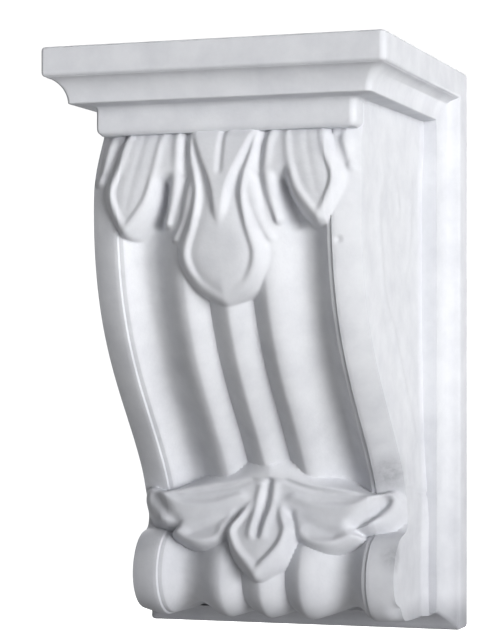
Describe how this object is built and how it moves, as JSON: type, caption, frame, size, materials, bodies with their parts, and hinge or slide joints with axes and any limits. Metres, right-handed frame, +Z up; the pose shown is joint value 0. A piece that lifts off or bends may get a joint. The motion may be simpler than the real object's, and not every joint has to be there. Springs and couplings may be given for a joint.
{
  "type": "stone corbel",
  "caption": "Scrolled stone wall corbel with reeded front, leaf carving at head and waist, moulded top slab and back plate; carries a shelf, beam or cornice.",
  "frame": {"origin": "centre of the flat back face that meets the wall", "axes": "+Y points into the wall, +Z up, +X to the right seen from the front"},
  "size_m": [0.178, 0.165, 0.3],
  "materials": {
    "stone": "matte, fine-grained pale grey"
  },
  "bodies": {
    "root": {"corbel": "stone"}
  },
  "joints": []
}
